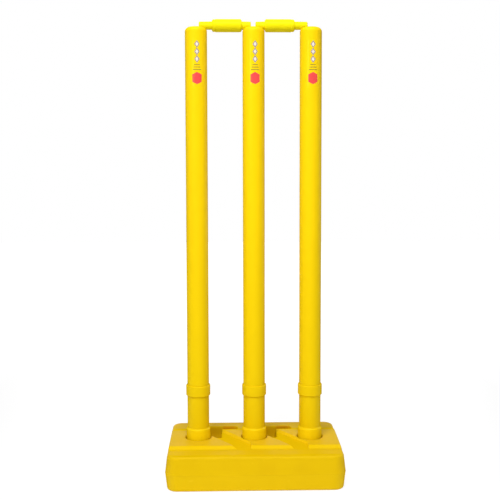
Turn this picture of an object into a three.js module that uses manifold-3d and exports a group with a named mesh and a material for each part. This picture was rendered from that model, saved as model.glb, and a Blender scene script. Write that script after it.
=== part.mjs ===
// A plastic training wicket: three stumps standing in one blow-moulded base, with two bails on top.
// Millimetres. X runs along the row of stumps, +Y points away from the bowler, +Z is up.
// The origin is on the floor, under the axis of the middle stump.
import * as THREE from "three";
import { mergeVertices } from "three/addons/utils/BufferGeometryUtils.js";
import Module from "manifold-3d";

const wasm = await Module();
wasm.setup();

// Whole wicket
const wicketHeight = 711; // floor to the stump tops: 28 inches, the full size of a wicket
const stumpDistance = 90; // between the axes of two neighbours
const seatGap = 0.3; // between two pieces that rest on each other

// Base tank
const baseLength = 277.5; // at the parting line
const baseDepth = 182; // at the parting line
const ledgeHeight = 53.8;
const islandRise = 3.5;
const islandFront = 46.5; // from the row of stumps to the island's front edge
const rearLand = 53; // from the island's back edge to the back of the base
const partingHeight = 26.3;
const draftAngle = THREE.MathUtils.degToRad(6.8);
const baseCornerRadius = 16;
const topFillet = 3.5;
const bottomFillet = 4;
const islandFillet = 8;
const islandFootRun = 7; // how far the island's front and back slopes run out on their way down
const baseWall = 3;

// Leg sockets in the base
const socketFloorThickness = 6; // the socket's end and the tank's floor, welded together
const recessClearance = 2;
const recessDepth = 5; // under the island's top
const socketClearance = 0.4;

// Channels across the island, one between each two stumps
const channelNearMouth = 13.8; // from the mid-line between two stumps to the nearer side of the mouth
const channelMouth = 24; // along X
const channelWidth = 36; // along X, in the slanted stretch
const channelStraight = 18.8; // from the bend in its nearer wall to its back end
const channelDraft = 1.2;
const channelLip = 1;
const channelCorner = 3;

// Deeper pocket behind each channel
const pocketDepth = 20; // under the ledge
const pocketStart = 3.5; // from the row of stumps
const pocketFromBack = 27; // from the pocket's end to the back of the base
const pocketReach = 17.5; // past the mid-line between two stumps
const pocketNeckSide = 8; // from the mid-line to the side of the pocket inside the channel
const pocketDraft = 2.5;
const pocketCorner = 5;

// Filler hole and its bung, in the back wall
const fillerFromStump = 23; // towards the middle from the right stump, past its socket
const fillerRadius = 9.5;
const fillerSeatRadius = 17;
const fillerSeatDepth = 7; // in from the parting line
const bungClearance = 0.3;
const bungFlangeRadius = 15.2;
const bungFlangeThickness = 2.6;
const bungRimHeight = 2;
const bungRimWidth = 2.4;
const bungPlugLength = 13;
const bungPlugTaper = 0.8;
const bungBore = 6.4;
const bungGripWidth = 5;
const bungGripHeight = 3.2;

// Stump tube
const tubeRadius = 17.3;
const tubeWall = 2.5;
const headFillet = 7.5;
const headDome = 0.6;
const headThickness = 9; // from the top of the dome to the end of the bore

// Leg, the stump's lower end
const legRingRadius = 19.1;
const legRingTop = 74.5;
const legRingFillet = 3.6;
const legRingChamfer = 2.2;
const legCollarRadius = 19.3;
const legCollarBottom = 125.6;
const legCollarHeight = 18.2;
const legCollarChamfer = 1.4;
const legCollarFoot = 1.8; // height of the collar's sloped underside
const legSpigotRadius = 15.2;
const legSpigotLength = 36;
const legSpigotChamfer = 2;
const legWall = 2.6;

// Push-in joint between leg and tube
const mouthDepth = 12; // how deep the tube's full width stands in the collar
const jointClearance = 0.35;
const tubeSpigotRadius = 13.4;
const tubeSpigotLength = 36;
const tubeSpigotChamfer = 1.5;
const tubeNeck = 8; // length of the bore's widening above the spigot

// Bails
const bailAxisRise = 1.7; // bail axis over the stump tops
const bailBarrelRadius = 10;
const bailBarrelLength = 46.4;
const bailLongSpigot = 20.5; // outer end
const bailShortSpigot = 14.4; // inner end
const bailSpigotRadius = 6.4;
const bailTipRadius = 6.1;
const bailTipChamfer = 0.9;
const bailShoulderRadius = 8.4;
const bailShoulderLength = 1.1;
const bailEdgeFillet = 0.8;
const bailCollarRadius = 9.6; // the barrel's outer end, past the ring groove
const bailCollarWidth = 5;
const bailRingGroove = 0.5;
const bailInnerTips = { left: 4.1, right: 3.2 }; // from the middle stump's axis to the end of each bail
const grooveClearance = seatGap;

// How finely curves are cut
const roundSteps = 32;
const bailSteps = 24;
const filletSteps = 3;
const cornerSteps = 6;
const innerRoundSteps = 16; // on the tank's inner skin, which is never seen
const innerFilletSteps = 1;
const innerCornerSteps = 3;
const overrun = 1; // how far a cut runs past the surface that it opens

// Derived places
const islandHeight = ledgeHeight + islandRise;
const islandBack = baseDepth / 2 - rearLand;
const recessFloor = islandHeight - recessDepth;
const legRingBottom = recessFloor + seatGap;
const legCollarTop = legCollarBottom + legCollarHeight;
const tubeShoulder = legCollarTop - mouthDepth;
const bailAxisHeight = wicketHeight + bailAxisRise;
const legSpigotBottom = legRingBottom - legSpigotLength;
const tubeSpigotBottom = tubeShoulder - tubeSpigotLength;
const pocketFloor = ledgeHeight - pocketDepth;
const pocketEnd = baseDepth / 2 - pocketFromBack;
const fillerFace = baseDepth / 2 - fillerSeatDepth;
const fillerX = stumpDistance - fillerFromStump;
const fillerHeight = partingHeight;
const channelFar = channelNearMouth + channelMouth;
const channelFront = -islandFront - islandFootRun - overrun;
const channelBack = islandBack + islandFootRun + overrun;
const channelBend = channelBack - channelStraight;
const channelSlope = (channelNearMouth + channelFar) / (channelBend + islandFront);
const recessRadius = legRingRadius + recessClearance;
const socketRadius = legSpigotRadius + socketClearance;
const stumpPlaces = { left: -stumpDistance, middle: 0, right: stumpDistance };
const channelPlaces = [-stumpDistance / 2, stumpDistance / 2];

// Finishes
const finishes = {
  base: { color: 0xe2b80a, roughness: 0.48, metalness: 0 },
  leg: { color: 0xecc308, roughness: 0.42, metalness: 0 },
  tube: { color: 0xfbd60f, roughness: 0.4, metalness: 0 },
  bail: { color: 0xf2e614, roughness: 0.4, metalness: 0 },
  bung: { color: 0xd9ad08, roughness: 0.6, metalness: 0 },
};

function piece(name, finish, geometry) {
  const mesh = new THREE.Mesh(geometry, new THREE.MeshStandardMaterial(finishes[finish]));
  mesh.name = name;
  return mesh;
}

// Solids

/** A three.js geometry as a solid that can be joined and cut. */
function solid(geometry) {
  const bare = geometry.clone();
  bare.deleteAttribute("normal");
  bare.deleteAttribute("uv");
  const merged = mergeVertices(bare);
  const vertProperties = merged.attributes.position.array;
  const triVerts = new Uint32Array(merged.index.array);
  return new wasm.Manifold(new wasm.Mesh({ numProp: 3, vertProperties, triVerts }));
}

/** A solid back as a three.js geometry. */
function geometryOf(shape) {
  const mesh = shape.getMesh();
  const geometry = new THREE.BufferGeometry();
  geometry.setAttribute("position", new THREE.BufferAttribute(mesh.vertProperties, mesh.numProp));
  geometry.setIndex(new THREE.BufferAttribute(mesh.triVerts, 1));
  return geometry;
}

/** A body through sections stacked along Z. Each is { outline, height }, all with as many points. */
function loft(sections) {
  const count = sections[0].outline.length;
  const last = sections.length - 1;
  const positions = sections.flatMap(({ outline, height }) => outline.flatMap((p) => [p.x, p.y, height]));
  const faces = [];
  for (let s = 0; s < last; s++) {
    for (let i = 0; i < count; i++) {
      const a = s * count + i;
      const b = s * count + ((i + 1) % count);
      faces.push(a, b, b + count, a, b + count, a + count);
    }
  }
  for (const [a, b, c] of THREE.ShapeUtils.triangulateShape(sections[0].outline, [])) {
    faces.push(c, b, a);
  }
  for (const [a, b, c] of THREE.ShapeUtils.triangulateShape(sections[last].outline, [])) {
    faces.push(last * count + a, last * count + b, last * count + c);
  }
  const geometry = new THREE.BufferGeometry();
  geometry.setAttribute("position", new THREE.Float32BufferAttribute(positions, 3));
  geometry.setIndex(faces);
  return geometry;
}

/** A body of revolution about Z. The profile is a list of [radius, height] from the bottom up. */
function turned(profile, steps = roundSteps) {
  const points = profile.map(([radius, height]) => new THREE.Vector2(radius, height));
  return new THREE.LatheGeometry(points, steps).rotateX(Math.PI / 2);
}

/** A round post of one radius, standing along Z between two heights. */
function post(radius, bottom, top, steps = roundSteps) {
  return solid(turned([[0, bottom], [radius, bottom], [radius, top], [0, top]], steps));
}

/** Points of a quarter round from one angle to the other, about a centre given as [radius, height]. */
function arc([cx, cy], radius, from, to, steps = filletSteps) {
  return Array.from({ length: steps + 1 }, (_, i) => {
    const angle = THREE.MathUtils.degToRad(from + ((to - from) * i) / steps);
    return [cx + radius * Math.cos(angle), cy + radius * Math.sin(angle)];
  });
}

// Outlines

/** The crossing of two lines, each a point and a direction. */
function crossing(p, u, q, v) {
  const t = (q.clone().sub(p).cross(v)) / u.cross(v);
  return p.clone().addScaledVector(u, t);
}

/** An outline, anticlockwise, with every side moved outwards by a distance. */
function grown(corners, distance) {
  const count = corners.length;
  const sides = corners.map((p, i) => {
    const along = corners[(i + 1) % count].clone().sub(p).normalize();
    const outward = new THREE.Vector2(along.y, -along.x);
    return { point: p.clone().addScaledVector(outward, distance), along };
  });
  return sides.map((side, i) => {
    const before = sides[(i + count - 1) % count];
    return crossing(before.point, before.along, side.point, side.along);
  });
}

/** An outline with each corner rounded by an arc that touches both of its sides. */
function rounded(corners, radius, steps = filletSteps) {
  const count = corners.length;
  return corners.flatMap((p, i) => {
    const before = corners[(i + count - 1) % count].clone().sub(p).normalize();
    const after = corners[(i + 1) % count].clone().sub(p).normalize();
    const half = before.angleTo(after) / 2;
    const inward = before.clone().add(after).normalize();
    const centre = p.clone().addScaledVector(inward, radius / Math.sin(half));
    const start = p.clone().addScaledVector(before, radius / Math.tan(half)).sub(centre);
    const swing = (Math.PI - 2 * half) * Math.sign(-before.cross(after));
    const turn = (k) => start.clone().rotateAround(new THREE.Vector2(), (swing * k) / steps).add(centre);
    return Array.from({ length: steps + 1 }, (_, k) => turn(k));
  });
}

/** The tank's outline at a height, drafted both ways from the parting line and drawn in by an inset. */
function tankOutline(height, inset, steps) {
  const drawn = inset + Math.abs(height - partingHeight) * Math.tan(draftAngle);
  const x = baseLength / 2 - drawn;
  const y = baseDepth / 2 - drawn;
  const corners = [[-x, -y], [x, -y], [x, y], [-x, y]].map(([cx, cy]) => new THREE.Vector2(cx, cy));
  return rounded(corners, baseCornerRadius - inset, steps);
}

// Base

/** How finely a skin is cut: the outer one, with no wall, or the inner one. */
function skinSteps(wall) {
  const outer = { round: roundSteps, fillet: filletSteps, corner: cornerSteps };
  const inner = { round: innerRoundSteps, fillet: innerFilletSteps, corner: innerCornerSteps };
  return wall > 0 ? inner : outer;
}

/** The tank's body up to a height, rounded along its lower and upper edges. wall draws it all in. */
function tankBody(top, wall) {
  const steps = skinSteps(wall);
  const lower = Math.max(bottomFillet - wall, wall / 2);
  const upper = Math.max(topFillet - wall, wall / 2);
  const low = arc([lower, wall + lower], lower, 270, 180, steps.fillet);
  const high = arc([upper, top - wall - upper], upper, 180, 90, steps.fillet);
  const rings = [...low, [0, partingHeight], ...high];
  const sections = rings.map(([inset, height]) => {
    return { outline: tankOutline(height, inset + wall, steps.corner), height };
  });
  return solid(loft(sections));
}

/** The long block, across the whole tank, that stands up as the island. Its foot lies inside the tank. */
function islandBlock(wall) {
  const { fillet } = skinSteps(wall);
  const drawn = wall * Math.tan(Math.atan2(islandRise, islandFootRun) / 2);
  const front = drawn - islandFront;
  const back = islandBack - drawn;
  const top = islandHeight - wall;
  const foot = ledgeHeight - topFillet - wall;
  const lean = (islandFootRun * (top - foot)) / islandRise;
  const corners = [[front - lean, foot], [back + lean, foot], [back, top], [front, top]];
  const outline = corners.map(([y, z]) => new THREE.Vector2(y, z));
  const reach = baseLength / 2 + overrun;
  const upperEdges = rounded(outline, islandFillet, fillet).slice(2 * (fillet + 1));
  const profile = [outline[0], outline[1], ...upperEdges];
  const along = loft([{ outline: profile, height: -reach }, { outline: profile, height: reach }]);
  return solid(along.rotateX(Math.PI / 2).rotateZ(Math.PI / 2));
}

/** The base's outer form, or with a wall thickness its inner one. */
function baseForm(wall) {
  return tankBody(ledgeHeight, wall).add(tankBody(islandHeight, wall).intersect(islandBlock(wall)));
}

/** A flared cut about a mid-line place. levels are [growth, height] from the bottom up. */
function flaredCut(place, corners, radius, levels, steps) {
  const outline = corners.map(([x, y]) => new THREE.Vector2(place + x, y));
  const sections = levels.map(([growth, height]) => {
    return { outline: rounded(grown(outline, growth), radius, steps), height };
  });
  return solid(loft(sections));
}

/** Where the channel's nearer wall runs at a distance behind the row of stumps, from the mid-line. */
function nearWallAt(y) {
  return channelNearMouth - (y + islandFront) * channelSlope;
}

/** A channel through the island, from the back left to the front right, floor at ledge level. */
function channelCut(place, wall) {
  const frontTurn = (channelWidth - channelMouth) / channelSlope - islandFront;
  const corners = [
    [nearWallAt(channelFront), channelFront],
    [channelFar, channelFront],
    [channelFar, frontTurn],
    [nearWallAt(channelBack) + channelWidth, channelBack],
    [-channelFar, channelBack],
    [-channelFar, channelBend],
  ];
  const shoulder = channelDraft + wall;
  const levels = [
    [wall, ledgeHeight - wall],
    [shoulder, islandHeight - channelLip],
    [shoulder + channelLip, islandHeight],
    [shoulder + channelLip, islandHeight + overrun],
  ];
  return flaredCut(place, corners, channelCorner, levels, skinSteps(wall).fillet);
}

/** The deeper pocket: it starts in the channel, leans round the socket and widens behind the island. */
function pocketCut(place, wall) {
  const behind = islandBack + islandFootRun + channelLip;
  const near = nearWallAt(pocketStart);
  const corners = [
    [near, pocketStart],
    [-pocketNeckSide, pocketStart],
    [-pocketNeckSide, behind],
    [pocketReach, behind],
    [pocketReach, pocketEnd],
    [-channelFar, pocketEnd],
    [-channelFar, pocketStart + channelFar + near],
  ];
  const levels = [
    [wall - pocketDraft, pocketFloor - wall],
    [wall, ledgeHeight - channelLip],
    [wall + channelLip, ledgeHeight],
    [wall + channelLip, islandHeight + overrun],
  ];
  return flaredCut(place, corners, pocketCorner, levels, skinSteps(wall).fillet);
}

/** The round recess and socket that a leg stands in. */
function socketCut(x, wall) {
  const top = islandHeight + overrun;
  const floor = wall > 0 ? -overrun : socketFloorThickness;
  const steps = skinSteps(wall).round;
  const recess = post(recessRadius + wall, recessFloor - wall, top, steps);
  const socket = post(socketRadius + wall, floor, top, steps);
  return recess.add(socket).translate([x, 0, 0]);
}

/** A cut along Y in the back wall, from a depth to past the back. */
function backCut(radius, from) {
  const reach = baseDepth / 2 + overrun;
  return post(radius, -reach, -from).rotate([90, 0, 0]).translate([fillerX, 0, fillerHeight]);
}

/** All that is cut from the outer form, or with a wall thickness what keeps the hollow off it. */
function baseCuts(wall) {
  return [
    ...Object.values(stumpPlaces).map((x) => socketCut(x, wall)),
    ...channelPlaces.map((x) => channelCut(x, wall)),
    ...channelPlaces.map((x) => pocketCut(x, wall)),
    backCut(fillerSeatRadius + wall, fillerFace - wall),
  ];
}

/** The blow-moulded tank: one skin of even thickness, with its sockets, channels, pockets and filler. */
function base() {
  const body = baseCuts(0).reduce((form, cut) => form.subtract(cut), baseForm(0));
  const hollow = baseCuts(baseWall).reduce((form, cut) => form.subtract(cut), baseForm(baseWall));
  const hole = backCut(fillerRadius, fillerFace - baseWall - overrun);
  return piece("base", "base", geometryOf(body.subtract(hollow).subtract(hole)));
}

/** The bung: a tapered hollow plug under a dished flange with a grip across it. It points along +Y. */
function bung() {
  const plugRadius = fillerRadius - bungClearance;
  const face = fillerFace + seatGap;
  const top = bungFlangeThickness;
  const rim = top + bungRimHeight;
  const inner = bungFlangeRadius - bungRimWidth;
  const profile = [
    [0, -bungFlangeThickness], [bungBore, -bungFlangeThickness], [bungBore, -bungPlugLength],
    [plugRadius - bungPlugTaper, -bungPlugLength], [plugRadius, -bungFlangeThickness], [plugRadius, 0],
    [bungFlangeRadius, 0], [bungFlangeRadius, rim], [inner, rim], [inner, top], [0, top],
  ];
  const grip = new THREE.BoxGeometry(2 * inner, bungGripWidth, bungGripHeight);
  grip.translate(0, 0, top + bungGripHeight / 2 - seatGap);
  const round = post(inner + bungRimWidth / 2, 0, rim + bungGripHeight);
  const shape = solid(turned(profile, bailSteps)).add(solid(grip).intersect(round));
  const mesh = piece("filler_bung", "bung", geometryOf(shape));
  mesh.rotation.x = -Math.PI / 2;
  mesh.position.set(fillerX, face, fillerHeight);
  return mesh;
}

// Stumps

/** The leg: a spigot into the base, a ring that rests on it, a shank and a socket collar. */
function legProfile() {
  const spigotBore = legSpigotRadius - legWall;
  const shankBore = tubeSpigotRadius + jointClearance;
  const mouth = tubeRadius + jointClearance;
  const boreFloor = tubeSpigotBottom - seatGap;
  const mouthFloor = tubeShoulder - seatGap;
  const ringCentre = [legRingRadius - legRingFillet, legRingBottom + legRingFillet];
  return [
    [spigotBore, legSpigotBottom],
    [legSpigotRadius - legSpigotChamfer, legSpigotBottom],
    [legSpigotRadius, legSpigotBottom + legSpigotChamfer],
    [legSpigotRadius, legRingBottom],
    ...arc(ringCentre, legRingFillet, 270, 360),
    [legRingRadius, legRingTop - legRingChamfer],
    [tubeRadius, legRingTop],
    [tubeRadius, legCollarBottom],
    [legCollarRadius, legCollarBottom + legCollarFoot],
    [legCollarRadius, legCollarTop - legCollarChamfer],
    [legCollarRadius - legCollarChamfer / 2, legCollarTop],
    [mouth, legCollarTop],
    [mouth, mouthFloor],
    [shankBore, mouthFloor],
    [shankBore, boreFloor],
    [spigotBore, boreFloor],
    [spigotBore, legSpigotBottom],
  ];
}

/** The tube: a spigot into the leg, a long plain stretch, and a closed head with a rounded edge. */
function tubeProfile() {
  const bore = tubeRadius - tubeWall;
  const spigotBore = tubeSpigotRadius - tubeWall;
  const edge = wicketHeight - headDome;
  const boreTop = wicketHeight - headThickness;
  const headCentre = [tubeRadius - headFillet, edge - headFillet];
  return [
    [spigotBore, tubeSpigotBottom],
    [tubeSpigotRadius - tubeSpigotChamfer, tubeSpigotBottom],
    [tubeSpigotRadius, tubeSpigotBottom + tubeSpigotChamfer],
    [tubeSpigotRadius, tubeShoulder],
    [tubeRadius, tubeShoulder],
    ...arc(headCentre, headFillet, 0, 90, 2 * filletSteps),
    [0, wicketHeight],
    [0, boreTop],
    ...arc([bore - headFillet / 2, boreTop - headFillet / 2], headFillet / 2, 90, 0),
    [bore, tubeShoulder + tubeNeck],
    [spigotBore, tubeShoulder],
    [spigotBore, tubeSpigotBottom],
  ];
}

/** A half-round groove across the head, along the row, that the bails' spigots lie in. */
function headGroove() {
  const reach = tubeRadius + overrun;
  const rod = post(bailSpigotRadius + grooveClearance, -reach, reach);
  return rod.rotate([0, 90, 0]).translate([0, 0, bailAxisHeight]);
}

function stump(side, x) {
  const leg = piece(`leg_${side}`, "leg", turned(legProfile()));
  const grooved = solid(turned(tubeProfile())).subtract(headGroove());
  const tube = piece(`tube_${side}`, "tube", geometryOf(grooved));
  const group = new THREE.Group();
  group.position.x = x;
  group.add(leg, tube);
  return group;
}

// Bails

/** Half of a bail's outline from the middle out: barrel end, shoulder, tapered spigot and chamfered tip. */
function bailEnd(spigotLength, barrelRadius) {
  const end = bailBarrelLength / 2;
  const shoulder = end - bailShoulderLength;
  const tip = end + spigotLength;
  return [
    ...arc([barrelRadius - bailEdgeFillet, shoulder - bailEdgeFillet], bailEdgeFillet, 0, 90),
    [bailShoulderRadius, shoulder],
    [bailShoulderRadius, end],
    [bailSpigotRadius, end],
    [bailTipRadius, tip - bailTipChamfer],
    [bailTipRadius - bailTipChamfer, tip],
    [0, tip],
  ];
}

/** A turned bail along X. outward is -1 with the long spigot to the left, or 1 to the right. */
function bail(side, outward) {
  const short = bailEnd(bailShortSpigot, bailBarrelRadius);
  const inner = short.map(([radius, along]) => [radius, -along]).reverse();
  const outer = bailEnd(bailLongSpigot, bailCollarRadius);
  const collar = bailBarrelLength / 2 - bailCollarWidth;
  const groove = [
    [bailBarrelRadius, collar - bailRingGroove],
    [bailBarrelRadius - bailRingGroove, collar],
    [bailCollarRadius, collar + bailRingGroove],
  ];
  const mesh = piece(`bail_${side}`, "bail", turned([...inner, ...groove, ...outer], bailSteps));
  const middle = bailInnerTips[side] + bailShortSpigot + bailBarrelLength / 2;
  mesh.rotation.y = (outward * Math.PI) / 2;
  mesh.position.set(outward * middle, 0, bailAxisHeight);
  return mesh;
}

// Assembly

const wicket = new THREE.Group();
wicket.add(base(), bung());
for (const [side, x] of Object.entries(stumpPlaces)) wicket.add(stump(side, x));
wicket.add(bail("left", -1), bail("right", 1));

export default wicket;
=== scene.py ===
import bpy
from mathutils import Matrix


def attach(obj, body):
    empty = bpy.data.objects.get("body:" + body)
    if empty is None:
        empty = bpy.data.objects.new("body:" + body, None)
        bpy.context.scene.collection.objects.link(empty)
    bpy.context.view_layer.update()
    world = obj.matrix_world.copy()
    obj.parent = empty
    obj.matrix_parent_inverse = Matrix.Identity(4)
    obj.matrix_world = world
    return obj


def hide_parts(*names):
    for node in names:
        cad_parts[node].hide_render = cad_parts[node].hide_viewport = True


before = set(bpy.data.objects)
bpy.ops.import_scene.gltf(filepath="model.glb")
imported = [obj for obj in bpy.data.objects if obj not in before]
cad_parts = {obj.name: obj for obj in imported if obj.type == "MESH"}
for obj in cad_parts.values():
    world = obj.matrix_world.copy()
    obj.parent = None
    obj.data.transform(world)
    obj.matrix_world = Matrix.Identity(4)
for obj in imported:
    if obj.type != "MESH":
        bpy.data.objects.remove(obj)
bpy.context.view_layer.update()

# Camera, floor and light
# A plastic training wicket on a white studio floor, seen from the bowler's end, a little above the bails.
# The scene is in metres in the frame of the CAD model; shapes are worked out in millimetres: X along the
# row of stumps, +Y away from the bowler, +Z up, origin on the floor under the middle stump.
import math

import bpy
import numpy as np
from mathutils import Quaternion, Vector

scene = bpy.context.scene
scene.view_settings.view_transform = "Standard"

focal_pixels, picture_pixels, sensor_width = 850, 500, 36
camera_data = bpy.data.cameras.new("camera")
camera_data.sensor_width = sensor_width
camera_data.lens = focal_pixels / picture_pixels * sensor_width
camera_data.shift_y = -0.05
camera = bpy.data.objects.new("camera", camera_data)
scene.collection.objects.link(camera)
camera.location = (-0.0391, -1.3479, 0.4986)
turn_right, look_down, roll = 0.0245, 0.0728, -0.0021
aim = Vector((math.sin(turn_right), math.cos(turn_right), -math.tan(look_down))).normalized()
camera.rotation_euler = (aim.to_track_quat("-Z", "Y") @ Quaternion((0, 0, 1), roll)).to_euler()
scene.camera = camera


def place_mesh(name, points, faces):
    """A mesh object from whole arrays: points in millimetres, brought to metres, and faces as index rows."""
    mesh = bpy.data.meshes.new(name)
    mesh.from_pydata((np.asarray(points) * 0.001).tolist(), [], [row for part in faces for row in part.tolist()])
    mesh.polygons.foreach_set("use_smooth", [True] * len(mesh.polygons))
    mesh.update()
    made = bpy.data.objects.new(name, mesh)
    scene.collection.objects.link(made)
    return made


def ranged(nodes, links, value, low, high, to_low, to_high):
    """A value mapped straight from the range low to high onto to_low to to_high, and held at its ends."""
    node = nodes.new("ShaderNodeMapRange")
    for socket, number in zip(("From Min", "From Max", "To Min", "To Max"), (low, high, to_low, to_high)):
        node.inputs[socket].default_value = number
    links.new(value, node.inputs["Value"])
    return node.outputs["Result"]


def summed(nodes, links, operation, first, second):
    """One step of arithmetic on two values, each a socket or a number. An absolute value reads only the first."""
    node = nodes.new("ShaderNodeMath")
    node.operation = operation
    for socket, value in ((node.inputs[0], first), (node.inputs[1], second)):
        if isinstance(value, (int, float)):
            socket.default_value = value
        else:
            links.new(value, socket)
    return node.outputs[0]


def seen_by_eye(nodes, links):
    """1 on a ray from the camera, a mirror or glass, else 0: the greatest of the three Light Path answers."""
    path = nodes.new("ShaderNodeLightPath")
    seen = path.outputs["Is Camera Ray"]
    for other in ("Is Glossy Ray", "Is Transmission Ray"):
        seen = summed(nodes, links, "MAXIMUM", seen, path.outputs[other])
    return seen


# The paper glows for the eye, more with the distance, so that it reads as white as the backdrop; the rest of its
# light is a matt white that keeps the shadow and turns grey beside the object.
floor_side = 4000
glow_share = 0.75
corners = [(-floor_side, -floor_side, 0), (floor_side, -floor_side, 0), (floor_side, floor_side, 0)]
corners.append((-floor_side, floor_side, 0))
floor = place_mesh("studio_floor", corners, [np.array([[0, 1, 2, 3]])])
paper = bpy.data.materials.new("studio_paper")
paper.use_nodes = True
nodes, links = paper.node_tree.nodes, paper.node_tree.links
matt = nodes["Principled BSDF"]
matt.inputs["Roughness"].default_value = 0.9
matt.inputs["Specular IOR Level"].default_value = 0.0
ground = nodes.new("ShaderNodeTexCoord").outputs["Object"]
apart = nodes.new("ShaderNodeVectorMath")
apart.operation = "LENGTH"
links.new(ground, apart.inputs[0])
glow = nodes.new("ShaderNodeEmission")
links.new(ranged(nodes, links, apart.outputs["Value"], 0.3, 1.3, 1.10, 1.38), glow.inputs["Strength"])
sideways = nodes.new("ShaderNodeSeparateXYZ")
links.new(ground, sideways.inputs[0])
off = summed(nodes, links, "ABSOLUTE", sideways.outputs["X"], 0)
width = ranged(nodes, links, off, 0.3, 0.55, 0.95, 0.3)
grey = nodes.new("ShaderNodeCombineColor")
for channel in range(3):
    links.new(width, grey.inputs[channel])
links.new(grey.outputs[0], matt.inputs["Base Color"])
both = nodes.new("ShaderNodeMixShader")
links.new(summed(nodes, links, "MULTIPLY", seen_by_eye(nodes, links), glow_share), both.inputs["Fac"])
links.new(matt.outputs[0], both.inputs[1])
links.new(glow.outputs[0], both.inputs[2])
links.new(both.outputs[0], nodes["Material Output"].inputs["Surface"])
floor.data.materials.append(paper)

# The room lights the object more from the front, back and top than from the sides. The eye sees it plain white.
world = bpy.data.worlds.new("studio")
scene.world = world
world.use_nodes = True
nodes, links = world.node_tree.nodes, world.node_tree.links
room = nodes["Background"]
room.inputs["Color"].default_value = (1, 1, 1, 1)
towards = nodes.new("ShaderNodeSeparateXYZ")
links.new(nodes.new("ShaderNodeTexCoord").outputs["Generated"], towards.inputs[0])
aside = summed(nodes, links, "ABSOLUTE", towards.outputs["X"], 0)
links.new(ranged(nodes, links, aside, 0.2, 0.85, 0.46, 0.26), room.inputs["Strength"])
backdrop = nodes.new("ShaderNodeBackground")
backdrop.inputs["Color"].default_value = (1, 1, 1, 1)
mix = nodes.new("ShaderNodeMixShader")
links.new(seen_by_eye(nodes, links), mix.inputs["Fac"])
links.new(room.outputs[0], mix.inputs[1])
links.new(backdrop.outputs[0], mix.inputs[2])
links.new(mix.outputs[0], nodes["World Output"].inputs["Surface"])


def soft_lamp(name, place, target, size, watts):
    """A rectangular area lamp at a place, in metres, turned to a target. size is its width and height."""
    data = bpy.data.lights.new(name, "AREA")
    data.shape = "RECTANGLE"
    data.size, data.size_y = size
    data.energy = watts
    lamp = bpy.data.objects.new(name, data)
    scene.collection.objects.link(lamp)
    lamp.location = place
    lamp.rotation_euler = (Vector(target) - Vector(place)).to_track_quat("-Z", "Y").to_euler()


soft_lamp("high_key", (-0.2, -1.12, 1.95), (0, 0, 0.45), (1.2, 0.8), 37)
soft_lamp("tall_strip", (-1.05, -1.75, 1.0), (0, 0, 0.5), (0.2, 1.0), 8)
soft_lamp("rear_fill", (1.25, 1.1, 0.36), (0, 0, 0.34), (0.5, 0.66), 5)

# Base tank
# One hollow tank, blow-moulded in yellow polyethylene in two mould halves that meet in a thin raised line
# round its middle. A low island runs from end to end with a round seat for each stump, two slanted channels
# cross it, and a deeper pocket opens behind each channel. The filler is sunk in the back wall.
stump_places = (-90.0, 0.0, 90.0)
channel_places = (-45.0, 45.0)
tank_half = (138.75, 91.0)  # half length and half depth at the parting line
ledge, island, recess, parting = 53.8, 57.3, 52.3, 26.3  # heights
island_front, island_back = -53.5, 45.0  # Y of the feet of its two slopes, which rise by 1 in 2
slope_run = 2 * (island - ledge)
recess_radius = 21.1
draft = math.tan(math.radians(6.8))
tank_corner, tank_round, foot_round = 16.0, 3.5, 4.0
wall_top = ledge - tank_round
grid_step = 0.9
filler_x, filler_face = 67.0, 84.0


def blend_step(value, low, high):
    """0 below low, 1 above high, and the smooth cubic 3t^2 - 2t^3 between."""
    t = np.clip((value - low) / (high - low), 0, 1)
    return t * t * (3 - 2 * t)


def lower_of(a, b, blend):
    """The lower of two heights, rounded where they meet: min(a, b) - h^2 * blend / 4, h = 1 - |a - b| / blend."""
    h = np.clip(1 - np.abs(a - b) / blend, 0, 1)
    return np.minimum(a, b) - h * h * blend / 4


def corner_runs(before, here, after):
    """Unit vectors from a corner to both neighbours and half the angle between them."""
    u = (before - here) / np.linalg.norm(before - here)
    v = (after - here) / np.linalg.norm(after - here)
    return u, v, math.acos(float(np.clip(u @ v, -1, 1))) / 2


def corner_arc(here, u, v, half, radius, steps):
    """Points of the arc that touches both runs of a corner: its first point, turned about its centre, which lies
    on the bisector at radius / sin(half)."""
    centre = here + (u + v) / np.linalg.norm(u + v) * radius / math.sin(half)
    x, y = here + u * radius / math.tan(half) - centre
    turn = (math.pi - 2 * half) * math.copysign(1, u[1] * v[0] - u[0] * v[1]) * np.linspace(0, 1, steps + 1)
    return np.stack([x * np.cos(turn) - y * np.sin(turn), x * np.sin(turn) + y * np.cos(turn)], 1) + centre


def rounded_outline(corners, radius, steps=6):
    """Points of a closed outline, anticlockwise, each corner replaced by an arc that touches both its sides."""
    made = []
    for before, here, after in zip(np.roll(corners, 1, 0), np.asarray(corners), np.roll(corners, -1, 0)):
        made.append(corner_arc(here, *corner_runs(before, here, after), radius, steps))
    return np.concatenate(made)


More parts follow.
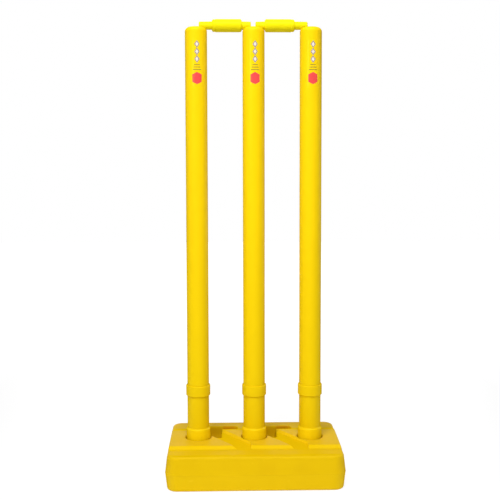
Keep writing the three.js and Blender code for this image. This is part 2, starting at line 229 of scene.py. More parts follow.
def outline_distance(x, y, outline):
    """Distance from every point to a closed outline, negative inside, and the nearest point on it: the least
    over its sides of the distance to the foot of the perpendicular, held between the side's ends."""
    best = np.full(x.shape, 1e9)
    near_x, near_y = np.zeros(x.shape), np.zeros(x.shape)
    inside = np.zeros(x.shape, bool)
    for (ax, ay), (bx, by) in zip(outline, np.roll(outline, -1, 0)):
        ex, ey = bx - ax, by - ay
        along = np.clip(((x - ax) * ex + (y - ay) * ey) / (ex * ex + ey * ey), 0, 1)
        foot_x, foot_y = ax + along * ex, ay + along * ey
        distance = np.hypot(x - foot_x, y - foot_y)
        closer = distance < best
        best = np.where(closer, distance, best)
        near_x, near_y = np.where(closer, foot_x, near_x), np.where(closer, foot_y, near_y)
        inside ^= ((ay > y) != (by > y)) & (x < ax + (y - ay) * ex / (ey if ey else 1e-9))
    return np.where(inside, -best, best), near_x, near_y


def drop_past(distance, lip, slope):
    """How far a cut's side lies under the surface round it: a rounded lip from distance = lip down to 0, then
    a straight side of the given slope as the distance turns negative."""
    lean = slope / math.hypot(1, slope)
    t = np.clip((lip - distance) / lip, 0, 1) * lean
    return lip * (1 - np.sqrt(1 - t * t)) + slope * np.maximum(-distance, 0)


def sunk(height, floor_level, drop, blend):
    """The surface lowered by drop but no further than a floor, rounded at the foot of the cut's side."""
    depth = np.maximum(height - floor_level, 0)
    return height - lower_of(drop, depth, np.minimum(blend, 0.5 * depth) + 1e-6)


channel_half, channel_wide, channel_front, channel_back = 37.8, 36.0, -56.0, 46.0
near_start, slant_from, slant_run = 13.8, island_front + slope_run, 73.7
slant = (near_start + channel_half) / slant_run
pocket_front, pocket_neck, pocket_right, pocket_back = 3.5, -8.0, 17.5, 64.0
pocket_floor = ledge - 20


def near_wall(y):
    """Where the channel's nearer wall stands at a place y, from the channel's mid-line: start - (y - from) * slant."""
    return near_start - (y - slant_from) * slant


channel_corners = [
    (near_wall(channel_front), channel_front), (channel_half, channel_front),
    (channel_half, slant_from + (near_start + channel_wide - channel_half) / slant),
    (near_wall(channel_back) + channel_wide, channel_back), (-channel_half, channel_back),
    (-channel_half, slant_from + slant_run)]
channel_outline = rounded_outline(np.array(channel_corners), 3.0)
pocket_corners = [
    (near_wall(pocket_front), pocket_front), (pocket_neck, pocket_front), (pocket_neck, channel_back),
    (pocket_right, channel_back), (pocket_right, pocket_back), (-channel_half, pocket_back),
    (-channel_half, pocket_front + channel_half + near_wall(pocket_front))]
pocket_outline = rounded_outline(np.array(pocket_corners), 5.0)


def tank_top(x, y):
    """Height of the tank's top: the ledge, raised to the island between two leaning planes, then lowered by each
    channel, round seat and pocket. Also how much painted light lies on it: above 0 a tan painted reflection of the
    white backdrop on the flat tops, which also get a little more real shine; below 0 painted shade high up the back
    walls of the pockets."""
    rise = lower_of(lower_of((y - island_front) / 2, (island_back - y) / 2, 1.0), island - ledge + 0 * y, 1.3)
    height = ledge - lower_of(-rise, 0 * rise, 0.5)
    # Painted reflection of the white backdrop, a tan: full on the island top, 0.85 on the rear ledge, 0.45 on the
    # front ledge, taken off in channels, seats and pockets.
    painted_sheen_and_shade = blend_step(y, -46, -43) * (1 - blend_step(y, 31, 34)) + 0.85 * blend_step(y, 47, 61)
    painted_sheen_and_shade = painted_sheen_and_shade + 0.45 * blend_step(y, -82, -72) * (1 - blend_step(y, -60, -54))
    for place in channel_places:
        distance = outline_distance(x - place, y, channel_outline)[0]
        height = sunk(height, ledge, drop_past(distance - 1.0, 1.2, 2.6), 1.2)
        painted_sheen_and_shade *= np.where(y < 42, blend_step(distance, 0.6, 2.4), 1)
    for place in stump_places:
        away = np.hypot(x - place, y)
        height = sunk(height, recess, drop_past(away - recess_radius, 1.0, 9.0), 1.0)
        painted_sheen_and_shade *= blend_step(away, recess_radius - 0.5, recess_radius + 1.0)
    for place in channel_places:
        distance = outline_distance(x - place, y, pocket_outline)[0]
        height = sunk(height, pocket_floor, drop_past(distance, 1.6, 7.6), 4.0)
        painted_sheen_and_shade *= blend_step(distance, 1.6, 2.4)
        # Painted shade: below 0 high up the back wall of each pocket.
        deeper = blend_step(x - place, -9, -3) * (1 - 0.5 * blend_step(x - place, 8, 22))
        painted_sheen_and_shade -= blend_step(-distance, -1.8, -0.4) * blend_step(y, 44, 50) * blend_step(height, 33, 43) * deeper
    return height, painted_sheen_and_shade


# The grid is unfolded: inside the corner centres it is flat, past them it runs out to the rim and over it.
rim_half = tank_half[0] - (wall_top - parting) * draft, tank_half[1] - (wall_top - parting) * draft
core = rim_half[0] - tank_corner, rim_half[1] - tank_corner
flat_run, round_run = tank_corner - tank_round, tank_round * math.pi / 2
levels = np.linspace(0, flat_run + round_run, 20)[1:]
counts = [math.floor(c / grid_step) for c in core]
inner = [grid_step * np.arange(-n, n + 1) for n in counts]
grid_lines = [np.concatenate([-(c + levels[::-1]), steps, c + levels]) for c, steps in zip(core, inner)]
unfolded_x, unfolded_y = np.meshgrid(*grid_lines, indexing="ij")
out_x, out_y = np.maximum(np.abs(unfolded_x) - core[0], 0), np.maximum(np.abs(unfolded_y) - core[1], 0)
level = np.maximum(out_x, out_y)
reach = np.hypot(out_x, out_y) + 1e-9
over = np.clip((level - flat_run) / round_run, 0, 1) * math.pi / 2
outward = np.where(level < flat_run, level, flat_run + tank_round * np.sin(over))
heading_x, heading_y = np.sign(unfolded_x) * out_x / reach, np.sign(unfolded_y) * out_y / reach
corner_x = np.clip(unfolded_x, -core[0], core[0])
corner_y = np.clip(unfolded_y, -core[1], core[1])
top_x, top_y = corner_x + heading_x * outward, corner_y + heading_y * outward

# Round each stump the square rings of the grid become circles: ring by ring the socket's floor, its wall, the
# seat and the seat's edge, then they relax back to squares.
ring_at = grid_step * np.array([0, 3, 4, 5, 9, 10, 11, 12, 14, 16, 17, 18, 19, 20, 21, 22, 23, 25, 36])
ring_radius = np.array([
    0, 13.6, 15.1, 15.6, 15.6, 15.8, 16.4, 17.1, 18.3, 19.5, 20.3, 20.7, 20.95, 21.15, 21.45, 21.9, 22.6, 24.0, 32.4])
ring_level = np.array([6, 6, 6.3, 8, 50.6, 51.5, 52.1, 52.3])
socket_level = np.full(top_x.shape, 1e3)
keep_square = np.ones(top_x.shape)
for place in stump_places:
    from_x, from_y = top_x - place, top_y
    square = np.maximum(np.abs(from_x), np.abs(from_y))
    away = np.hypot(from_x, from_y) + 1e-9
    round_share = 1 - blend_step(square, 23.5, 31)
    radius = np.interp(square, ring_at, ring_radius)
    top_x = top_x + round_share * (from_x * (radius / away - 1))
    top_y = top_y + round_share * (from_y * (radius / away - 1))
    keep_square *= blend_step(square, 22.5, 28)
    socket_level = np.where(square < ring_at[7], np.interp(square, ring_at[:8], ring_level), socket_level)

# Elsewhere the grid gathers towards the outlines of the cuts: p moves to its nearest outline point by the share
# 0.62 exp(-(d / 2.4)^2), so that the lips and sides get three times as many rows.
for outline in (pocket_outline, channel_outline):
    for place in channel_places:
        distance, near_x, near_y = outline_distance(top_x - place, top_y, outline)
        share = 0.62 * np.exp(-((distance / 2.4) ** 2)) * keep_square
        if outline is channel_outline:
            share = share * (1 - blend_step(np.abs(top_y + 4), 44, 48))
        top_x = top_x + (near_x + place - top_x) * share
        top_y = top_y + (near_y - top_y) * share
for line in (island_front, island_front + slope_run, island_back - slope_run, island_back):
    top_y = top_y + (line - top_y) * 0.5 * np.exp(-(((top_y - line) / 2.2) ** 2)) * keep_square

top_z, painted_sheen_and_shade = tank_top(top_x, top_y)
top_z = np.minimum(top_z, socket_level)
top_z = top_z - tank_round * (1 - np.cos(over))
narrowing = np.maximum(top_z - wall_top, 0) * draft * np.clip(level / tank_corner, 0, 1)
top_x, top_y = top_x - heading_x * narrowing, top_y - heading_y * narrowing

# The wall is a band of rows from the rim down to the foot, along the grid's own border, with the filler's seat
# pressed into its back. The floor closes it with rings that shrink to one point.
rows, columns = top_x.shape
number = np.arange(rows * columns).reshape(rows, columns)
rim = np.concatenate([number[:-1, 0], number[-1, :-1], number[:0:-1, -1], number[0, :0:-1]])
rim_x, rim_y = corner_x.reshape(-1)[rim], corner_y.reshape(-1)[rim]
rim_hx, rim_hy = heading_x.reshape(-1)[rim], heading_y.reshape(-1)[rim]
rim_z = top_z.reshape(-1)[rim]
upper = np.linspace(1, 0, 10)[1:, None] * (rim_z[None, :] - parting - 1) + parting + 1
seam_rows = np.array([0.5, 0.0, -0.5, -1.0])[:, None] + parting + 0 * rim_z[None, :]
lower = np.linspace(parting - 1, foot_round, 11)[1:, None] + 0 * rim_z[None, :]
wall_z = np.concatenate([upper, seam_rows, lower])
wall_out = (wall_top - parting - np.abs(wall_z - parting)) * draft + 0.12 * np.exp(-(((wall_z - parting) / 0.45) ** 2))
wall_x = rim_x + rim_hx * (tank_corner + wall_out)
wall_y = rim_y + rim_hy * (tank_corner + wall_out)

side, up = wall_x - filler_x, wall_z - parting
square = np.maximum(np.abs(side), np.abs(up))
away = np.hypot(side, up) + 1e-9
seat_at = np.array([0, 1.0, 3.3, 5.5, 7.6, 9.8, 12.0, 14.2, 16.4, 18.6, 22.0])
seat_radius = np.array([0, 4.0, 9.5, 9.5, 10.2, 15.7, 16.8, 17.0, 17.7, 18.9, 22.0])
seat_depth = np.array([20, 20, 20, 8.0, 7.0, 7.0, 6.2, 1.3, 0.25, 0, 0])
on_back = (wall_y > 80) & (square < 21.9)
round_share = (1 - blend_step(square, 18.6, 21.8)) * on_back
radius = np.interp(square, seat_at, seat_radius)
depth = np.interp(square, seat_at, seat_depth) * on_back
wall_x = wall_x + side * (radius / away - 1) * round_share
wall_z = wall_z + up * (radius / away - 1) * round_share
flat_share = blend_step(depth, 0.5, 5)
plain_y = rim_y + rim_hy * (tank_corner + (wall_top - parting - np.abs(wall_z - parting)) * draft)
wall_y = np.where(on_back, plain_y * (1 - flat_share) + tank_half[1] * flat_share - depth, wall_y)

turn = np.linspace(0, math.pi / 2, 6)[1:, None]
foot_out = tank_corner + (wall_top - 2 * parting + foot_round) * draft - foot_round * (1 - np.cos(turn))
foot_x, foot_y = rim_x + rim_hx * foot_out, rim_y + rim_hy * foot_out
foot_z = foot_round * (1 - np.sin(turn)) + 0 * foot_x
shrink = np.linspace(1, 0, 10)[1:-1, None]
floor_x, floor_y = foot_x[-1] * shrink, foot_y[-1] * shrink
bands = ([wall_x, foot_x, floor_x], [wall_y, foot_y, floor_y], [wall_z, foot_z, 0 * floor_x])
below = [np.concatenate(part).reshape(-1) for part in bands]
points = np.concatenate([np.stack([top_x, top_y, top_z], -1).reshape(-1, 3), np.stack(below, -1), [[0, 0, 0]]])
top_faces = np.stack([number[:-1, :-1], number[1:, :-1], number[1:, 1:], number[:-1, 1:]], -1).reshape(-1, 4)
ring = np.concatenate([rim[None, :], rows * columns + np.arange(len(below[0])).reshape(-1, len(rim))])
wall_faces = np.stack([ring[:-1], ring[1:], np.roll(ring[1:], -1, 1), np.roll(ring[:-1], -1, 1)], -1).reshape(-1, 4)
last_faces = np.stack([ring[-1], np.full(len(rim), len(points) - 1), np.roll(ring[-1], -1)], -1)
tank = place_mesh("tank_shell", points, [top_faces, wall_faces, last_faces])
sheen_and_shade_layer = tank.data.attributes.new("painted_sheen_and_shade", "FLOAT", "POINT")
on_top = painted_sheen_and_shade.reshape(-1) * (over.reshape(-1) < 0.8)
sheen_and_shade_layer.data.foreach_set("value", np.concatenate([on_top, np.zeros(len(points) - len(on_top))]))


def plain_noise(nodes, links, place, scale, detail, stretch=(1, 1, 1)):
    """Noise over the piece's own coordinates, in metres, stretched by a factor on each axis."""
    spread = nodes.new("ShaderNodeMapping")
    spread.inputs["Scale"].default_value = stretch
    links.new(place, spread.inputs["Vector"])
    noise = nodes.new("ShaderNodeTexNoise")
    noise.inputs["Scale"].default_value = scale
    noise.inputs["Detail"].default_value = detail
    links.new(spread.outputs["Vector"], noise.inputs["Vector"])
    return noise.outputs["Fac"]


def tinted(nodes, links, share, below_colour, above_colour):
    """One colour turning into another by a share; either may be a socket."""
    node = nodes.new("ShaderNodeMix")
    node.data_type = "RGBA"
    links.new(share, node.inputs["Factor"])
    for socket, colour in ((node.inputs[6], below_colour), (node.inputs[7], above_colour)):
        if isinstance(colour, tuple):
            socket.default_value = (*colour, 1)
        else:
            links.new(colour, socket)
    return node.outputs[2]


def moulded_plastic(name, colour, deep, gloss, grain, streak, mottle=30, specular=0.2):
    """Moulded polyethylene: the colour drifts towards a deeper one over a few centimetres, the gloss drifts with
    it, and a fine skin and slow waves, drawn out along the piece by streak, bend the light. The shine is yellow,
    as pigment close under the skin makes it, and fades where the surface is seen edge on. Returns its parts."""
    material = bpy.data.materials.new(name)
    material.use_nodes = True
    nodes, links = material.node_tree.nodes, material.node_tree.links
    shader = nodes["Principled BSDF"]
    shader.inputs["Specular Tint"].default_value = (1.0, 0.8, 0.15, 1)
    facing = nodes.new("ShaderNodeLayerWeight").outputs["Facing"]
    links.new(ranged(nodes, links, facing, 0.2, 0.6, specular, 0.0), shader.inputs["Specular IOR Level"])
    place = nodes.new("ShaderNodeTexCoord").outputs["Object"]
    drift = plain_noise(nodes, links, place, mottle, 3, streak)
    body = tinted(nodes, links, ranged(nodes, links, drift, 0.35, 0.7, 0, 1), colour, deep)
    links.new(ranged(nodes, links, drift, 0.3, 0.7, gloss - 0.05, gloss + 0.06), shader.inputs["Roughness"])
    normal = None
    for strength, distance, scale, detail in ((grain, 0.00025, 900, 2), (0.35, 0.0006, 45, 1)):  # skin, then waves
        bump = nodes.new("ShaderNodeBump")
        bump.inputs["Strength"].default_value = strength
        bump.inputs["Distance"].default_value = distance
        links.new(plain_noise(nodes, links, place, scale, detail, streak), bump.inputs["Height"])
        if normal:
            links.new(normal, bump.inputs["Normal"])
        normal = bump.outputs["Normal"]
    links.new(normal, shader.inputs["Normal"])
    links.new(body, shader.inputs["Base Color"])
    return material, nodes, links, shader, place, body


def mould_seam(nodes, links, shader, across):
    """A fine raised line along both sides of a turned piece, where the mould's halves met: 1 - |y| / 0.4 mm."""
    ridge = nodes.new("ShaderNodeBump")
    ridge.inputs["Strength"].default_value = 0.6
    ridge.inputs["Distance"].default_value = 0.0003
    beside = summed(nodes, links, "ABSOLUTE", across, 0)
    links.new(ranged(nodes, links, beside, 0, 0.0004, 1, 0), ridge.inputs["Height"])
    links.new(shader.inputs["Normal"].links[0].from_socket, ridge.inputs["Normal"])
    links.new(ridge.outputs["Normal"], shader.inputs["Normal"])


tank_plastic, nodes, links, shader, place, body = moulded_plastic(
    "tank_plastic", (0.685, 0.446, 0.002), (0.665, 0.422, 0.002), 0.44, 0.25, (1, 1, 1))
axes = nodes.new("ShaderNodeSeparateXYZ")
links.new(place, axes.inputs[0])
# The lower mould half is painted lighter, a painted light for the floor's bounce on the foot, and the slopes between
# ledge and island are painted lighter, a painted highlight where they face the key lamp.
painted_foot_light = ranged(nodes, links, axes.outputs["Z"], (parting - 0.8) / 1000, parting / 1000, 1, 0)
body = tinted(nodes, links, painted_foot_light, body, (0.72, 0.474, 0.002))
slopes = ranged(nodes, links, axes.outputs["Z"], (ledge - 0.7) / 1000, (ledge + 1.4) / 1000, 0, 1)
body = tinted(nodes, links, slopes, body, (0.775, 0.515, 0.002))
# The attribute's tan is a painted reflection of the white backdrop, speckled; the veil below adds a little real shine
# with it.
attribute = nodes.new("ShaderNodeAttribute")
attribute.attribute_name = "painted_sheen_and_shade"
speckle = ranged(nodes, links, plain_noise(nodes, links, place, 260, 4), 0.3, 0.75, 0.75, 1.0)
speckled_painted_sheen = summed(nodes, links, "MULTIPLY", attribute.outputs["Fac"], speckle)
colour_with_painted_light = tinted(nodes, links, speckled_painted_sheen, body, (0.67, 0.425, 0.008))
level = shader.inputs["Specular IOR Level"].links[0].from_socket
veil = summed(nodes, links, "MULTIPLY", attribute.outputs["Fac"], 0.04)
links.new(summed(nodes, links, "MAXIMUM", level, veil), shader.inputs["Specular IOR Level"])
# Painted shade: below 0 the attribute turns the pocket back walls a deep orange.
deep = ranged(nodes, links, attribute.outputs["Fac"], -1, 0, 1, 0)
colour_with_painted_light = tinted(nodes, links, deep, colour_with_painted_light, (0.60, 0.29, 0.002))
scuff = plain_noise(nodes, links, place, 140, 6, (0.35, 1.6, 1))
scuffs = ranged(nodes, links, scuff, 0.66, 0.74, 0, 0.35)
links.new(tinted(nodes, links, scuffs, colour_with_painted_light, (0.82, 0.56, 0.02)), shader.inputs["Base Color"])
tank.data.materials.append(tank_plastic)
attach(tank, "base")
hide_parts("base")

# Filler bung
# The stopper of the tank's filler: a softer plastic plug, turned in one piece with its dished flange, and a grip
# bar across the dish to pull it by. It is pushed into the hole in the back wall.


def rounded_profile(corners, step=0.35):
    """A profile of [radius, height, rounding] corners, each replaced by an arc of that rounding that touches both
    runs, with a support point beside each arc so that the straight runs stay evenly shaded."""
    made = []
    for i, (r, z, rounding) in enumerate(corners):
        here = np.array([r, z], float)
        if i in (0, len(corners) - 1) or rounding <= 0:
            made.append(here[None, :])
            continue
        before, after = np.array(corners[i - 1][:2], float), np.array(corners[i + 1][:2], float)
        u, v, half = corner_runs(before, here, after)
        room = 0.48 * min(np.linalg.norm(before - here), np.linalg.norm(after - here))
        cut = min(rounding / math.tan(half), room)
        radius = cut * math.tan(half)
        arc = corner_arc(here, u, v, half, radius, max(2, math.ceil((math.pi - 2 * half) * radius / step)))
        beside = min(0.3, 0.2 * cut + 0.05)
        made.append(np.concatenate([[arc[0] + u * beside], arc, [arc[-1] + v * beside]]))
    return np.concatenate(made)


def banded(lower, upper):
    """Quads between closed rings of point numbers: each row of lower is joined to the row of upper beside it, and
    they face out where the rings run anticlockwise and upper lies above."""
    return np.stack([lower, np.roll(lower, -1, 1), np.roll(upper, -1, 1), upper], -1).reshape(-1, 4)


def poled_faces(rings, steps):
    """Faces round a stack of closed rings with one point before the first ring and one after the last: a fan of
    triangles to each pole and quads between the rings."""
    ring = 1 + np.arange(rings * steps).reshape(rings, steps)
    first = np.stack([0 * ring[0], np.roll(ring[0], -1), ring[0]], -1)
    last = np.stack([0 * ring[0] + rings * steps + 1, ring[-1], np.roll(ring[-1], -1)], -1)
    return [first, banded(ring[:-1], ring[1:]), last]


def turned_points(profile, steps):
    """Body of revolution about Z from a profile that starts and ends on the axis: the point for a profile place
    and an angle is (r cos a, r sin a, z). The two ends are single points, so that the poles are closed."""
    angle = np.linspace(0, 2 * math.pi, steps, endpoint=False)
    inner = profile[1:-1]
    grid = np.stack([inner[:, :1] * np.cos(angle), inner[:, :1] * np.sin(angle), inner[:, 1:] + 0 * angle], -1)
    points = np.concatenate([[[0, 0, profile[0, 1]]], grid.reshape(-1, 3), [[0, 0, profile[-1, 1]]]])
    return points, poled_faces(len(inner), steps)


plug_bore, plug_tip, plug_radius, plug_depth = 6.4, 8.4, 9.2, 13.0
bung_radius, dish_radius, bung_high, dish_floor = 15.2, 12.8, 4.6, 2.6
bung_profile = rounded_profile([
    (0, -dish_floor, 0), (plug_bore, -dish_floor, 0.6), (plug_bore, -plug_depth, 0.3), (plug_tip, -plug_depth, 0.7),
    (plug_radius, -dish_floor, 0.2), (plug_radius, 0, 0.3), (bung_radius, 0, 0.7), (bung_radius, bung_high, 0.9),
    (dish_radius, bung_high, 0.9), (dish_radius, dish_floor, 0.9), (0, dish_floor, 0)])
bung_points, bung_faces = turned_points(bung_profile, 128)
grip_long, grip_wide, grip_top = 12.6, 2.5, 5.6
inset = np.array([0.9, 0.3, 0.0, 0.0, 0.25, 0.8, 1.7])
grip_z = np.array([2.0, 2.3, 2.9, 4.4, 5.1, 5.45, grip_top])
angle = np.linspace(0, 2 * math.pi, 96, endpoint=False)
squarish = (np.abs(np.cos(angle)) ** 6 + np.abs(np.sin(angle)) ** 6) ** (-1 / 6)
grip_x = (grip_long - inset[:, None]) * np.cos(angle) * squarish
grip_y = (grip_wide - inset[:, None]) * np.sin(angle) * squarish
grip_rings = np.stack([grip_x, grip_y, grip_z[:, None] + 0 * grip_x], -1).reshape(-1, 3)
grip_points = np.concatenate([[[0, 0, grip_z[0]]], grip_rings, [[0, 0, grip_top]]])
grip_faces = poled_faces(len(inset), len(angle))
both = np.concatenate([bung_points, grip_points])
along_y = np.stack([both[:, 0] + filler_x, both[:, 2] + filler_face + 0.3, -both[:, 1] + parting], 1)
stopper = place_mesh("filler_stopper", along_y, bung_faces + [part + len(bung_points) for part in grip_faces])
stopper_plastic = moulded_plastic(
    "stopper_plastic", (0.68, 0.41, 0.004), (0.62, 0.36, 0.004), 0.58, 0.3, (1, 1, 1))[0]
stopper.data.materials.append(stopper_plastic)
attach(stopper, "bung")
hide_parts("filler_bung")

# Stump legs
# The lower end of each stump, turned from the mould in one piece: a spigot that plugs into the base, a ring that
# rests on it, a plain shank and a belled collar that the tube is pushed into.
stump_radius = 17.3


def turned_ring(profile, steps):
    """Body of revolution about Z from a profile that closes on itself, as turned_points but with no poles."""
    angle = np.linspace(0, 2 * math.pi, steps, endpoint=False)
    grid = np.stack([profile[:, :1] * np.cos(angle), profile[:, :1] * np.sin(angle), profile[:, 1:] + 0 * angle], -1)
    ring = np.arange(len(profile) * steps).reshape(len(profile), steps)
    return grid.reshape(-1, 3), [banded(ring, np.roll(ring, -1, 0))]


leg_bore, leg_bottom, spigot_radius, flange_radius, flange_fillet = 12.6, 16.6, 15.2, 19.1, 3.6
collar_radius, collar_inner, collar_top, tube_seat, step_bore, step_floor = 19.3, 17.65, 143.8, 131.5, 13.75, 95.5
foot_turn = np.linspace(0, math.pi / 2, 12)
flange_foot = [
    (flange_radius - flange_fillet * (1 - math.sin(t)), recess + 0.3 + flange_fillet * (1 - math.cos(t)), 0)
    for t in foot_turn]
leg_corners = [
    (leg_bore, 60, 0), (leg_bore, leg_bottom, 0.5), (leg_bore + 0.6, leg_bottom, 0.4),
    (spigot_radius, leg_bottom + 2, 0.8), (spigot_radius, recess + 0.3, 0.1), *flange_foot,
    (flange_radius, 72.3, 1.1), (stump_radius, 74.5, 1.0), (stump_radius, 125.6, 0.8), (collar_radius, 127.4, 0.9),
    (collar_radius, collar_top - 1.4, 1.0), (collar_radius - 0.6, collar_top, 0.5), (collar_inner, collar_top, 0.25),
    (collar_inner, tube_seat, 0.3), (step_bore, tube_seat, 0.4), (step_bore, step_floor, 0.4),
    (leg_bore, step_floor, 0.3), (leg_bore, 62, 0)]
leg_plastic, nodes, links, shader, place, body = moulded_plastic(
    "leg_plastic", (0.775, 0.535, 0.002), (0.75, 0.51, 0.002), 0.4, 0.22, (1, 1, 0.35))
axes = nodes.new("ShaderNodeSeparateXYZ")
links.new(place, axes.inputs[0])
# Painted light: the ring under the flange's top is painted lighter, for light the yellow base around it throws back.
painted_ring_light = ranged(nodes, links, axes.outputs["Z"], 0.0715, 0.0735, 1, 0)
links.new(tinted(nodes, links, painted_ring_light, body, (0.86, 0.60, 0.003)), shader.inputs["Base Color"])
mould_seam(nodes, links, shader, axes.outputs["Y"])
leg_points, leg_faces = turned_ring(rounded_profile(leg_corners), 144)
for side, place_x in zip(("left", "middle", "right"), stump_places):
    leg = place_mesh(f"stump_leg_{side}", leg_points + [place_x, 0, 0], leg_faces)
    leg.data.materials.append(leg_plastic)
    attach(leg, f"leg_{side}")
    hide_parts(f"leg_{side}")

# Stump tubes
# The long upper part of each stump, a blow-moulded hollow tube with a spigot into the leg and a closed head. The
# head's edge is well rounded and a half-round groove runs across it, along the row, for the bails to lie in.
stump_top = 711.0
bail_axis = stump_top + 1.7
groove_radius = 6.7
head_round, dome_rise = 7.5, 0.6
arc_turn = np.linspace(0, math.pi / 2, 27)
arc_r, arc_z = stump_radius - head_round, stump_top - dome_rise - head_round
head_arc = np.stack([arc_r + head_round * np.cos(arc_turn), arc_z + head_round * np.sin(arc_turn)], 1)
dome_r = np.linspace(arc_r, 0, 26)[1:]
dome = np.stack([dome_r, stump_top - dome_rise * (dome_r / arc_r) ** 2], 1)
tube_inner, tube_spigot, spigot_inner = 14.8, 13.4, 10.9  # radii
tube_ceiling, tube_foot, spigot_end = stump_top - 9, tube_seat + 0.3, step_floor + 0.3
tube_lower = rounded_profile([
    (0, tube_ceiling, 0), (tube_inner, tube_ceiling, 3.7), (tube_inner, tube_foot + 8, 1.5),
    (spigot_inner, tube_foot, 1.5), (spigot_inner, spigot_end, 0.3), (tube_spigot - 1.5, spigot_end, 0.4),
    (tube_spigot, spigot_end + 1.5, 0.6), (tube_spigot, tube_foot, 0.3), (stump_radius, tube_foot, 0.5),
    (stump_radius, 140, 0)])
long_run = np.stack([np.full(24, stump_radius), np.linspace(150, 701.5, 24)], 1)
tube_profile = np.concatenate([tube_lower, long_run, head_arc, dome])
tube_points, tube_faces = turned_points(tube_profile, 192)
on_head = (tube_points[:, 2] > 702.9) & (np.hypot(tube_points[:, 0], tube_points[:, 1]) < 17.25)
head_r = np.concatenate([head_arc, dome])[::-1]
groove_half = math.sqrt(groove_radius**2 - (bail_axis - stump_top) ** 2)
across = tube_points[:, 1]
edge = np.sign(across) * groove_half
fade = 1 - blend_step(np.hypot(tube_points[:, 0], across), 15.8, 17.2)
gathered = across + (edge - across) * 0.6 * np.exp(-(((across - edge) / 1.3) ** 2)) * fade * on_head
tube_points[:, 1] = gathered
dome_height = np.interp(np.hypot(tube_points[:, 0], gathered), head_r[:, 0], head_r[:, 1])
beside = np.abs(gathered) - groove_radius
bowl = bail_axis - np.sqrt(np.maximum(groove_radius**2 - gathered**2, 0)) + np.maximum(beside, 0) * 12
headed = lower_of(dome_height, bowl, 1.1)
tube_points[:, 2] = np.where(on_head, headed, tube_points[:, 2])

stump_plastic, nodes, links, shader, place, body = moulded_plastic(
    "stump_plastic", (0.88, 0.60, 0.003), (0.86, 0.575, 0.003), 0.36, 0.2, (1, 1, 0.12), 22)
axes = nodes.new("ShaderNodeSeparateXYZ")
links.new(place, axes.inputs[0])
mould_seam(nodes, links, shader, axes.outputs["Y"])
# Painted shade: the tube is painted darker towards its foot, from 420 mm down to 140 mm, where the high lamps light it
# less.
painted_low_shade = ranged(nodes, links, axes.outputs["Z"], 0.14, 0.42, 1, 0)
body = tinted(nodes, links, painted_low_shade, body, (0.79, 0.545, 0.002))


def counted(operation, first, second):
    """One step of the label's arithmetic, on the tube material's own nodes."""
    return summed(nodes, links, operation, first, second)


def apart_from(value, centre):
    """How far a value lies from a centre: |value - centre|."""
    return counted("ABSOLUTE", counted("SUBTRACT", value, centre), 0)


def within(value, centre, half):
    """1 where a value lies within half of a centre, else 0."""
    return counted("LESS_THAN", apart_from(value, centre), half)


def from_step_middle(value, start, pitch):
    """How far a value lies from the middle of its own step, in a row of equal steps that begins at start."""
    return apart_from(counted("FLOORED_MODULO", counted("SUBTRACT", value, start), pitch), pitch / 2)


# The label is a clear sticker on the bowler's side, laid out in millimetres: round is the arc length from 2 mm
# right of the front, asin(x / r) r - 2, and high the height. From the foot up: a hexagon, bars, three diamonds.
hexagon_z, bars_from, bar_pitch, diamonds_from, diamond_pitch = 630.0, 641.2, 3.8, 653.5, 11.5
film_z, film_half_high, film_half_wide = 653.0, 36.0, 11.5
spacing = (stump_places[1] - stump_places[0]) / 1000
wrapped = counted("FLOORED_MODULO", counted("ADD", axes.outputs["X"], spacing / 2), spacing)
bent = counted("ARCSINE", counted("DIVIDE", counted("SUBTRACT", wrapped, spacing / 2), stump_radius / 1000), 0)
round_mm = counted("SUBTRACT", counted("MULTIPLY", bent, stump_radius), 2.0)
high_mm = counted("MULTIPLY", axes.outputs["Z"], 1000)
front = counted("LESS_THAN", axes.outputs["Y"], -0.002)
beside_mm = counted("ABSOLUTE", round_mm, 0)
chain = within(high_mm, diamonds_from + 1.5 * diamond_pitch, 17.2)
link_at = from_step_middle(high_mm, diamonds_from, diamond_pitch)
diamond = counted("ADD", counted("DIVIDE", beside_mm, 4.3), counted("DIVIDE", link_at, 6.0))
edge_of = counted("MULTIPLY", chain, counted("LESS_THAN", diamond, 1.0))
core_of = counted("MULTIPLY", chain, counted("LESS_THAN", diamond, 0.6))
leaning = counted("ADD", apart_from(high_mm, hexagon_z), counted("MULTIPLY", beside_mm, 0.5))
hexagon = counted("MULTIPLY", counted("LESS_THAN", leaning, 9.5), counted("LESS_THAN", beside_mm, 7.6))
bar_at = from_step_middle(high_mm, bars_from, bar_pitch)
bar_half = ranged(nodes, links, high_mm, 642, 652, 7.0, 4.0)
bar_rows = within(high_mm, bars_from + 1.5 * bar_pitch, 1.5 * bar_pitch)
in_row = counted("MULTIPLY", bar_rows, counted("LESS_THAN", bar_at, 0.75))
bars = counted("MULTIPLY", in_row, counted("LESS_THAN", beside_mm, bar_half))
inks = (
    (hexagon, (0.78, 0.06, 0.07)), (edge_of, (0.30, 0.24, 0.22)), (core_of, (0.72, 0.66, 0.62)),
    (bars, (0.33, 0.25, 0.03)))
for share, ink in inks:
    body = tinted(nodes, links, counted("MULTIPLY", front, share), body, ink)
links.new(body, shader.inputs["Base Color"])
film = counted("MULTIPLY", within(high_mm, film_z, film_half_high), within(round_mm, 0, film_half_wide))
clear = counted("MULTIPLY", front, film)
dull = shader.inputs["Roughness"].links[0].from_socket
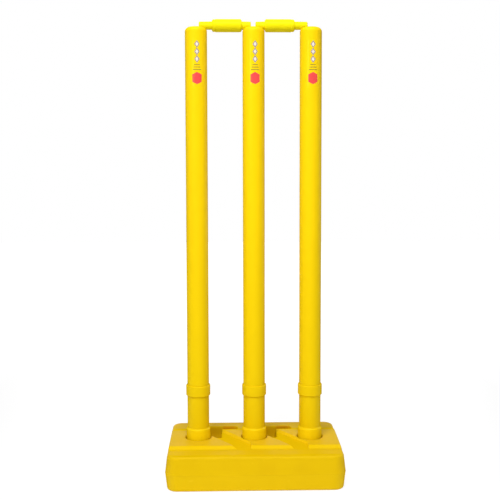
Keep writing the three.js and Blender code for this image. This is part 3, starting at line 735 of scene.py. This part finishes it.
links.new(counted("SUBTRACT", dull, counted("MULTIPLY", clear, 0.12)), shader.inputs["Roughness"])
level = shader.inputs["Specular IOR Level"].links[0].from_socket
links.new(counted("MULTIPLY", level, counted("ADD", clear, 1)), shader.inputs["Specular IOR Level"])
for side, place_x in zip(("left", "middle", "right"), stump_places):
    tube = place_mesh(f"stump_tube_{side}", tube_points + [place_x, 0, 0], tube_faces)
    tube.data.materials.append(stump_plastic)
    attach(tube, f"tube_{side}")
    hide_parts(f"tube_{side}")

# Bails
# Two turned bails of lemon-yellow plastic that lie loose in the head grooves: a barrel with a step and a fine
# ring groove at its ends, a short spigot over the middle stump and a longer one over the outer stump.
short_end, long_end, barrel_end = 37.6, 43.7, 22.1  # from the barrel's middle
spigot, shoulder, barrel = 6.4, 8.4, 10.0  # radii
bail_corners = [
    (0, -short_end, 0), (5.2, -short_end, 0.4), (6.1, 0.9 - short_end, 0.5), (spigot, -barrel_end - 1.1, 0.3),
    (shoulder, -barrel_end - 1.1, 0.3), (shoulder, -barrel_end, 0.3), (barrel, -barrel_end, 0.8), (barrel, 17.75, 0.1),
    (9.5, 18.2, 0.1), (9.6, 18.6, 0.1), (9.6, barrel_end, 0.8), (shoulder, barrel_end, 0.3),
    (shoulder, barrel_end + 1.1, 0.3), (spigot, barrel_end + 1.1, 0.3), (6.1, long_end - 0.9, 0.5),
    (5.2, long_end, 0.4), (0, long_end, 0)]
bail_plastic = moulded_plastic(
    "bail_plastic", (0.79, 0.68, 0.003), (0.765, 0.65, 0.003), 0.4, 0.2, (0.3, 1, 1))[0]
bail_points, bail_faces = turned_points(rounded_profile(bail_corners), 128)
for side, outward_sign, inner_tip in (("left", -1, 4.1), ("right", 1, 3.2)):
    laid_x = outward_sign * (inner_tip + short_end + bail_points[:, 2])
    laid = np.stack([laid_x, outward_sign * bail_points[:, 0], bail_points[:, 1] + bail_axis], 1)
    bail = place_mesh(f"turned_bail_{side}", laid, bail_faces)
    bail.data.materials.append(bail_plastic)
    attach(bail, f"bail_{side}")
    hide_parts(f"bail_{side}")
